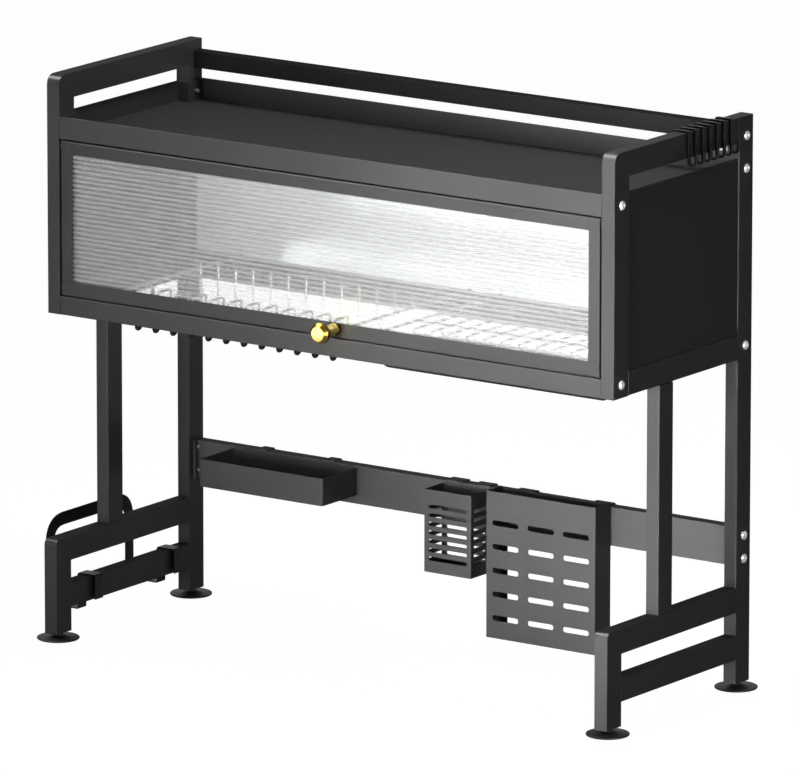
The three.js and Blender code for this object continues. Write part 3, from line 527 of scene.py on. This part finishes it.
def make_bowl_rack():
    """Wires that slope down to a floor, cross bars, and a black low bar at the front."""
    left, right, front, rear = rack_frame("bowl_rack")
    height, low = ring_heights()
    floor = height - BOWL_FLOOR_DROP
    paths = []
    for index in range(BOWL_WIRES):
        across = left + BOWL_FIRST + BOWL_PITCH * index
        paths.append(rounded([
            (across, front + BOWL_REAR_BACK, height), (across, front + BOWL_FRONT_BACK, height),
            (across, front + BOWL_FRONT_BACK, height - BOWL_LIP_DROP),
            (across, front + BOWL_SLOPE_BACK, height - BOWL_SLOPE_DROP),
            (across, front + BOWL_FLOOR_BACK, floor), (across, front + BOWL_FLOOR_END_BACK, floor),
        ], WIRE_BEND))
    for place in (BOWL_MIDDLE_BACK, BOWL_REAR_BACK):
        paths.append(level_bar(left, right, front + place, height - WIRE_STACK))
    paths.append(low_bar(left, right, front + BOWL_FLOOR_END_BACK, height, floor - WIRE_STACK))
    place_piece("bowl_rack_wires", wires("bowl_rack_wires", paths, WIRE_RADIUS), "bowl_rack",
                WIRE_STEEL, "rack_wire", "bowl_rack")
    front_bar = low_bar(left, right, front + RING_STEP_BACK, height, height - BOWL_FRONT_BAR_DROP - WIRE_STACK)
    place_piece("bowl_rack_front_bar", wires("bowl_rack_front_bar", [front_bar], WIRE_RADIUS), "bowl_rack",
                FOOT_PLASTIC, "black_plastic")
    ring = wires("bowl_rack_frame", [ring_path(left, right, front, rear, height, low)], RING_RADIUS)
    place_piece("bowl_rack_frame", ring, "bowl_rack", WIRE_STEEL, "rack_wire")


# Door


def make_glass():
    """The glass sheet with smooth ribs across its front."""
    low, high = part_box("door_glass")
    count = round((high.z - low.z) / RIB_PITCH)
    pitch = (high.z - low.z) / count
    profile = [(high.y, high.z), (high.y, low.z)]
    for step in range(count * RIB_STEPS + 1):
        share = step / RIB_STEPS
        wave = abs(math.sin(math.pi * share))
        profile.append((low.y + RIB_HIGH * (1 - wave), low.z + share * pitch))
    form = bmesh.new()
    ends = [[form.verts.new((across, y, z)) for y, z in profile] for across in (low.x, high.x)]
    total = len(profile)
    for index in range(total):
        after = (index + 1) % total
        form.faces.new((ends[0][index], ends[0][after], ends[1][after], ends[1][index]))
    form.faces.new(ends[0])
    form.faces.new(ends[1])
    bmesh.ops.recalc_face_normals(form, faces=form.faces)
    mesh = bpy.data.meshes.new("door_glass_ribbed")
    form.to_mesh(mesh)
    form.free()
    mesh.shade_smooth()
    mesh.set_sharp_from_angle(angle=EDGE_ANGLE)
    place_piece("door_glass_ribbed", mesh, "door", GLASS, "ribbed_glass", "door_glass")


def make_knob():
    """Brass mushroom knob: a neck that flares to a shoulder, and a polished face; the base and the shoulder are
    near-black brass, as painted shadow and painted dark reflection.
    """
    low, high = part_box("door_knob")
    head = (high.z - low.z) / 2
    reach = high.y - low.y
    rim_across = KNOB_RIM_ACROSS * head
    rim_round = KNOB_RIM_ROUND * head
    edge = (KNOB_FACE_EDGE[0] * head, KNOB_FACE_EDGE[1] * reach)
    profile = [(across * head, out * reach) for across, out in KNOB_NECK]
    profile += arc(rim_across, KNOB_RIM_START * reach, rim_round, -60, 0, KNOB_RIM_STEPS)
    profile += arc(rim_across, KNOB_RIM_END * reach, rim_round, 0, 45, KNOB_RIM_STEPS)
    profile += [edge, edge]
    profile += [(across * head, out * reach) for across, out in KNOB_FACE]
    profile += [(AXIS_RADIUS, reach)]
    turn = Euler((math.radians(90), 0.0, 0.0)).to_matrix().to_4x4()
    place = Vector(((low.x + high.x) / 2, high.y, (low.z + high.z) / 2))
    mesh = lathe("door_knob_turned", profile, TURNED_SIDES, turn, place)
    place_piece("door_knob_turned", mesh, "door", BRASS, "brass", "door_knob")
    # The base and the shoulder take the near-black brass: painted shadow and painted dark reflection
    mesh.materials.append(BRASS_PAINTED_SHADE)
    for polygon in mesh.polygons:
        out = (place.y - polygon.center.y) / reach
        is_painted_shade = out < KNOB_PAINTED_SHADOW_END or KNOB_PAINTED_REFLECTION_START < out < KNOB_PAINTED_REFLECTION_END
        polygon.material_index = 1 if is_painted_shade else 0


# Screws and feet


def hexagon(radius):
    """Distance from the middle to a hexagon's edge at an angle."""
    def reach(angle):
        return radius * math.cos(math.radians(30)) / math.cos((angle % math.radians(60)) - math.radians(30))
    return reach


def make_screws():
    """Screws with dome heads, a hexagon socket in each, and a plain shank."""
    for node in [name for name in frame["nodes"] if "_screw_" in name]:
        low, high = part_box(node)
        side = 1.0 if node.startswith("right") else -1.0
        head = (high.z - low.z) / 2
        middle = Vector((0.0, (low.y + high.y) / 2, (low.z + high.z) / 2))
        outer = high.x if side > 0 else low.x
        length = high.x - low.x
        shank = SCREW_SHANK_SHARE * head
        base = length - SCREW_CROWN
        socket = hexagon(HEX_SHARE * head)
        socket_floor = base + SCREW_CROWN * HEX_DEPTH_SHARE
        profile = [(AXIS_RADIUS, 0.0), (shank, 0.0), (shank, base), (head, base)]
        for step in range(1, SCREW_DOME_STEPS + 1):
            angle = math.radians(SCREW_DOME_STEP * step)
            profile.append((head * math.cos(angle * SCREW_DOME_FLATNESS), base + SCREW_CROWN * math.sin(angle)))
        profile += [(socket, base + SCREW_CROWN), (socket, socket_floor), (AXIS_RADIUS, socket_floor)]
        turn = Euler((0.0, side * math.radians(90), 0.0)).to_matrix().to_4x4()
        place = middle + Vector((outer - side * length, 0.0, 0.0))
        mesh = lathe(node + "_dome", profile, SCREW_SIDES, turn, place)
        place_piece(node + "_dome", mesh, "frame", SCREW_STEEL, "screw_steel", node)


def make_feet():
    """Levelling feet: a disc with a rounded rim and a hub, on a stem."""
    for node in [name for name in frame["nodes"] if name.endswith("_foot")]:
        low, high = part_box(node)
        disc = (high.x - low.x) / 2
        half = FOOT_RIM / 2
        profile = [(AXIS_RADIUS, 0.0), (disc - FOOT_EDGE_IN, 0.0)]
        profile += arc(disc - half, half, half, -60, 90, FOOT_RIM_STEPS)
        profile += [(disc * 0.7, FOOT_RIM * 1.25), (FOOT_HUB * 1.4, FOOT_CROWN * 0.82)]
        profile += [(FOOT_HUB, FOOT_CROWN), (FOOT_STEM, FOOT_CROWN), (FOOT_STEM, high.z - FOOT_STEM_BEVEL)]
        profile += [(FOOT_STEM - FOOT_STEM_BEVEL, high.z), (AXIS_RADIUS, high.z)]
        place = Vector(((low.x + high.x) / 2, (low.y + high.y) / 2, low.z))
        mesh = lathe(node + "_turned", profile, TURNED_SIDES, Matrix.Identity(4), place)
        place_piece(node + "_turned", mesh, node, FOOT_PLASTIC, "black_plastic", node)


# The steel pieces keep their CAD shape, with rounded edges


def steel_look(node, slot):
    """The material and edge rounding of a piece that keeps its CAD shape, or None for the others."""
    if node == "back_panel":
        return MIRROR, FINE_ROUND
    if node.endswith("side_panel"):
        return PANEL, PANEL_ROUND
    if node.startswith("rail_hook") or node == "lid_rack":
        return DARK_WIRE, HOOK_ROUND
    # The holders and the hanging rail take the lighter copy of the coat, as painted light
    if node in ("sponge_tray", "cutlery_basket", "board_holder", "hanging_rail"):
        return HOLDER_PAINTED_LIGHT, SHEET_ROUND
    if node == "top_tray":
        return TRAY_PAINT, SHEET_ROUND
    # The top guard rail takes the darker copy of the coat, as painted shade
    if node == "top_guard_rail":
        return GUARD_PAINT_SHADED, EDGE_ROUND
    if slot == "door_frame":
        return DOOR_PAINT, EDGE_ROUND
    if slot == "black_steel":
        return STEEL, EDGE_ROUND
    if node.endswith("hinge_pin"):
        return STEEL, FINE_ROUND
    if node == "door_knob_screw":
        return SCREW_STEEL, FINE_ROUND
    return None


def finish_steel():
    slots = {part["node"]: part["material_slot"] for part in frame["record"]["subparts"]}
    for body, nodes in frame["record"]["behaviour"]["bodies"].items():
        for node in nodes:
            look = steel_look(node, slots[node])
            if look:
                material, round_by = look
                soften(node, body, material, slots[node], round_by)


# Stage: floor, world, lamps and camera


def white_to_eye(tree):
    """One for the rays by which the eye, a mirror or glass sees a surface, zero for those that light others."""
    path = tree.nodes.new("ShaderNodeLightPath")
    seen = add_node(tree, "ShaderNodeMath", operation="MAXIMUM")
    tree.links.new(path.outputs["Is Camera Ray"], seen.inputs[0])
    tree.links.new(path.outputs["Is Glossy Ray"], seen.inputs[1])
    seen_all = add_node(tree, "ShaderNodeMath", operation="MAXIMUM")
    tree.links.new(seen.outputs[0], seen_all.inputs[0])
    tree.links.new(path.outputs["Is Transmission Ray"], seen_all.inputs[1])
    return seen_all


def make_floor(middle):
    """A wide floor that glows white where it is seen and takes the rack's shadow."""
    mesh = bpy.data.meshes.new("floor")
    signs = ((-1, -1), (1, -1), (1, 1), (-1, 1))
    mesh.from_pydata([(FLOOR_HALF * x, FLOOR_HALF * y, 0.0) for x, y in signs], [], [(0, 1, 2, 3)])
    floor = bpy.data.objects.new("floor", mesh)
    floor.location = (middle.x, middle.y, -FLOOR_DROP)
    bpy.context.scene.collection.objects.link(floor)
    material, tree = new_material("white_floor")
    seen = white_to_eye(tree)
    tone = spread(tree, (seen, "Value"), FLOOR_BOUNCE, FLOOR_TONE)
    lit = add_node(tree, "ShaderNodeBsdfDiffuse", Color=(tone, "Result"))
    glow = add_node(tree, "ShaderNodeEmission", Color=(1.0, 1.0, 1.0, 1.0), Strength=FLOOR_GLOW)
    share = add_node(tree, "ShaderNodeMath", operation="MULTIPLY")
    tree.links.new(seen.outputs[0], share.inputs[0])
    share.inputs[1].default_value = FLOOR_GLOW_SHARE
    mix = add_node(tree, "ShaderNodeMixShader", Fac=(share, "Value"))
    tree.links.new(lit.outputs[0], mix.inputs[1])
    tree.links.new(glow.outputs[0], mix.inputs[2])
    output(tree, mix)
    mesh.materials.append(material)


def make_world():
    world = bpy.data.worlds.new("studio")
    bpy.context.scene.world = world
    world.use_nodes = True
    tree = world.node_tree
    tree.nodes.clear()
    soft = add_node(tree, "ShaderNodeBackground", Color=(1.0, 1.0, 1.0, 1.0), Strength=WORLD_LIGHT)
    white = add_node(tree, "ShaderNodeBackground", Color=(1.0, 1.0, 1.0, 1.0), Strength=WORLD_WHITE)
    seen = white_to_eye(tree)
    mix = add_node(tree, "ShaderNodeMixShader", Fac=(seen, "Value"))
    tree.links.new(soft.outputs[0], mix.inputs[1])
    tree.links.new(white.outputs[0], mix.inputs[2])
    end = tree.nodes.new("ShaderNodeOutputWorld")
    tree.links.new(mix.outputs[0], end.inputs["Surface"])


def area_lamp(middle, name, place, aim, size, power, spread_angle=180.0):
    """A flat lamp at a place, turned to its aim, both measured from the rack's middle."""
    lamp = bpy.data.lights.new(name, "AREA")
    lamp.shape = "RECTANGLE"
    lamp.size, lamp.size_y = size
    lamp.energy = power
    lamp.spread = math.radians(spread_angle)
    holder = bpy.data.objects.new(name, lamp)
    start = middle + Vector(place)
    holder.location = start
    holder.rotation_euler = (middle + Vector(aim) - start).to_track_quat("-Z", "Y").to_euler()
    bpy.context.scene.collection.objects.link(holder)
    return holder


def make_lamps(middle):
    """A wall of gridded boxes in front, a box above, a fill in the cabinet, and highlight panels."""
    for index, (across, power) in enumerate(FRONT_BOXES):
        place = (across, FRONT_BOX_PLACE, FRONT_BOX_HEIGHT)
        aim = (across, 0.0, FRONT_BOX_HEIGHT)
        area_lamp(middle, f"front_box_{index + 1}", place, aim, FRONT_BOX_SIZE, power, FRONT_BOX_SPREAD)
    area_lamp(middle, *TOP_BOX)
    fill = area_lamp(middle, *CABINET_FILL)
    fill.visible_camera = False
    fill.visible_glossy = False
    for panel in HIGHLIGHT_PANELS:
        area_lamp(middle, *panel).visible_diffuse = False


def make_camera(middle):
    """The photo's camera, with a long lens."""
    camera = bpy.data.cameras.new("camera")
    camera.sensor_width = SENSOR
    camera.sensor_fit = "HORIZONTAL"
    camera.lens = FOCAL_PIXELS * SENSOR / FRAME_WIDTH_PIXELS
    camera.clip_end = 100.0
    holder = bpy.data.objects.new("camera", camera)
    back = Vector((
        math.sin(AZIMUTH) * math.cos(ELEVATION),
        -math.cos(AZIMUTH) * math.cos(ELEVATION),
        math.sin(ELEVATION),
    ))
    holder.location = middle + TARGET + back * DISTANCE
    level = (-back).to_track_quat("-Z", "Y").to_matrix().to_4x4()
    holder.rotation_euler = (level @ Matrix.Rotation(ROLL, 4, "Z")).to_euler()
    bpy.context.scene.collection.objects.link(holder)
    bpy.context.scene.camera = holder


middle = rack_middle()
make_camera(middle)
make_plate_rack()
make_bowl_rack()
make_glass()
make_knob()
make_screws()
make_feet()
finish_steel()
make_floor(middle)
make_world()
make_lamps(middle)
bpy.context.scene.view_settings.view_transform = "Standard"
